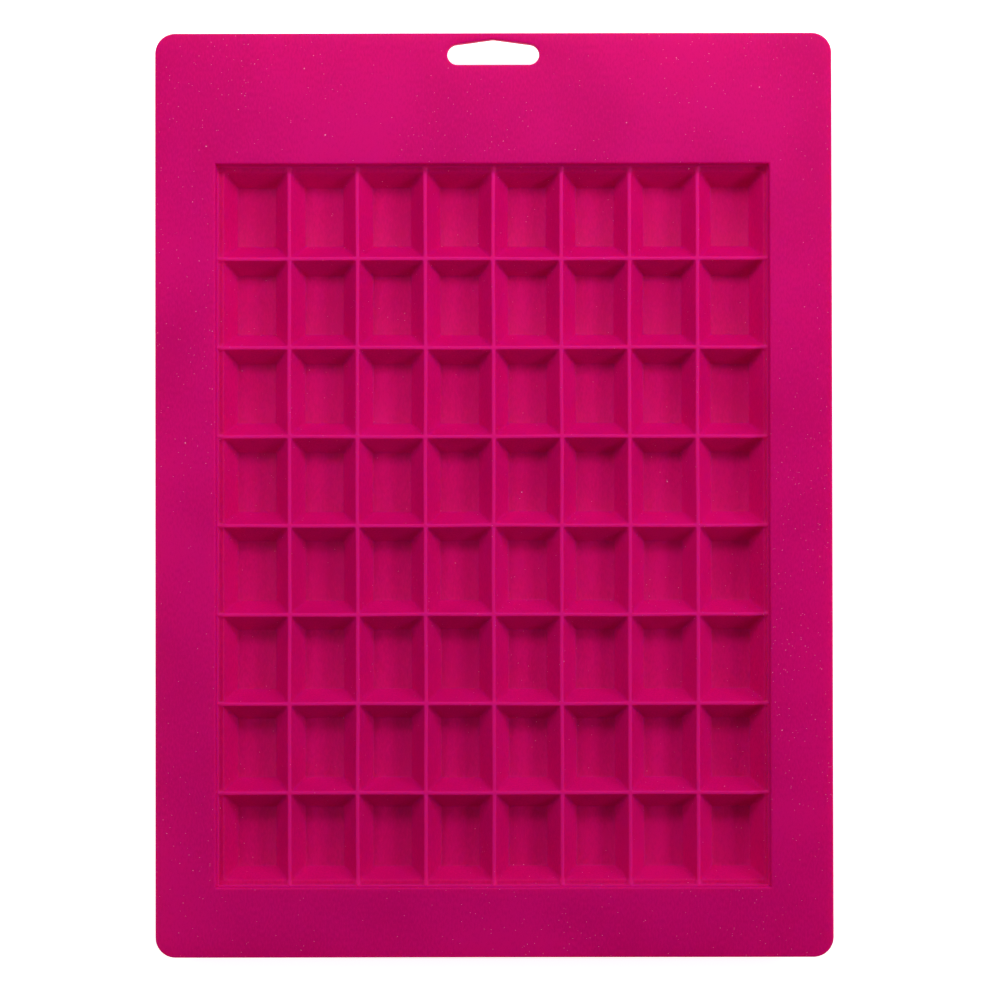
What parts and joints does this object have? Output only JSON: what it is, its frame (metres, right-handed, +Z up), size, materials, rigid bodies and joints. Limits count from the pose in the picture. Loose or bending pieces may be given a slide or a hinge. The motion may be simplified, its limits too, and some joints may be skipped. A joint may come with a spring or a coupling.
{
  "type": "silicone break-apart sheet mould",
  "caption": "Flat flexible silicone sheet mould with a sunk field of small tapered rectangular cups divided by thin ribs, and a peaked hang hole in its broad header.",
  "frame": {"origin": "centre of the bounding box at the undersides of the cups, on the surface that the mould lies on", "axes": "+Z up out of the cups' mouths, +Y along the sheet towards the hang hole, +X across the sheet"},
  "size_m": [0.23, 0.314, 0.013],
  "materials": {
    "silicone": "satin magenta moulded silicone with a fine matte grain"
  },
  "bodies": {
    "root": {"header_panel": "silicone", "foot_rim": "silicone", "left_rim": "silicone", "right_rim": "silicone", "field_wall_head": "silicone", "field_wall_foot": "silicone", "field_wall_left": "silicone", "field_wall_right": "silicone", "cup_side_wall_left": "silicone", "cup_side_wall_right": "silicone", "cup_head_wall": "silicone", "cup_foot_wall": "silicone", "cup_row_1": "silicone", "cup_row_2": "silicone", "cup_row_3": "silicone", "cup_row_4": "silicone", "cup_row_5": "silicone", "cup_row_6": "silicone", "cup_row_7": "silicone", "cup_row_8": "silicone", "cross_rib_1": "silicone", "cross_rib_2": "silicone", "cross_rib_3": "silicone", "cross_rib_4": "silicone", "cross_rib_5": "silicone", "cross_rib_6": "silicone", "cross_rib_7": "silicone"}
  },
  "joints": []
}
